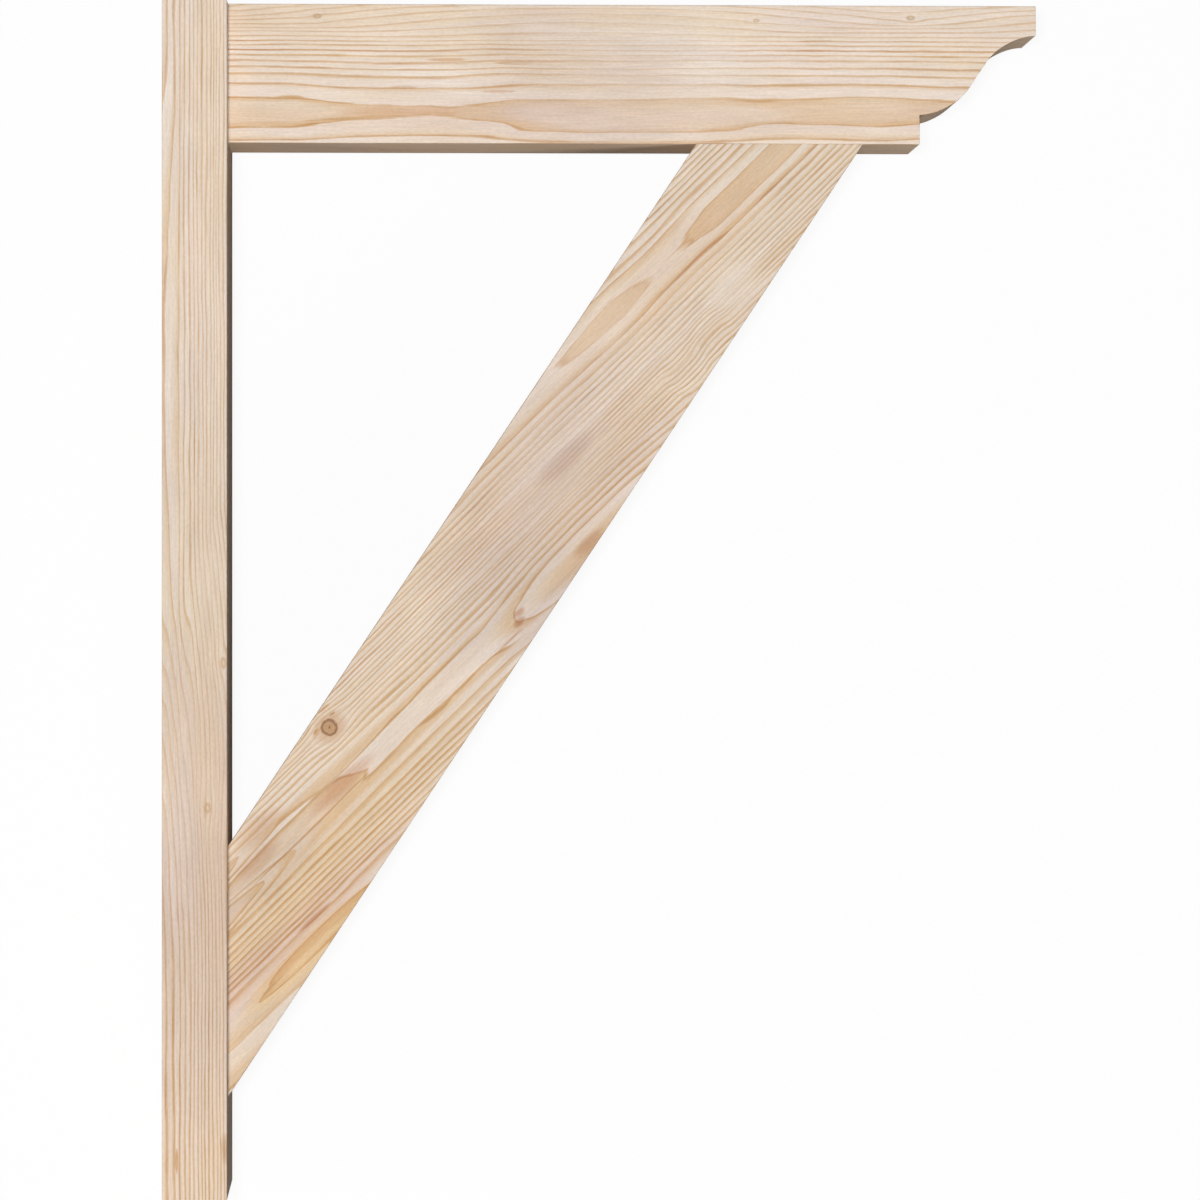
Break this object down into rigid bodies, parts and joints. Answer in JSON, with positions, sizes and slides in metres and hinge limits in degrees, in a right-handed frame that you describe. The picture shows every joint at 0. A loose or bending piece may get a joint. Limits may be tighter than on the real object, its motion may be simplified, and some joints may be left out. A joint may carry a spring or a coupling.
{
  "type": "wooden outlooker",
  "caption": "Solid timber bracket that carries a roof overhang: a square arm with an ogee end on a flat wall post, held by a diagonal brace.",
  "frame": {"origin": "centre of the wall face, the back of the post", "axes": "+X out from the wall along the arm; +Y up the wall as installed, along the post; +Z across the width, which is up as the part is stored, lying on its side"},
  "size_m": [0.5588, 0.762, 0.1396],
  "materials": {
    "timber": "planed softwood, unfinished, matt"
  },
  "bodies": {
    "root": {"back_post": "timber", "arm": "timber", "brace": "timber"}
  },
  "joints": []
}
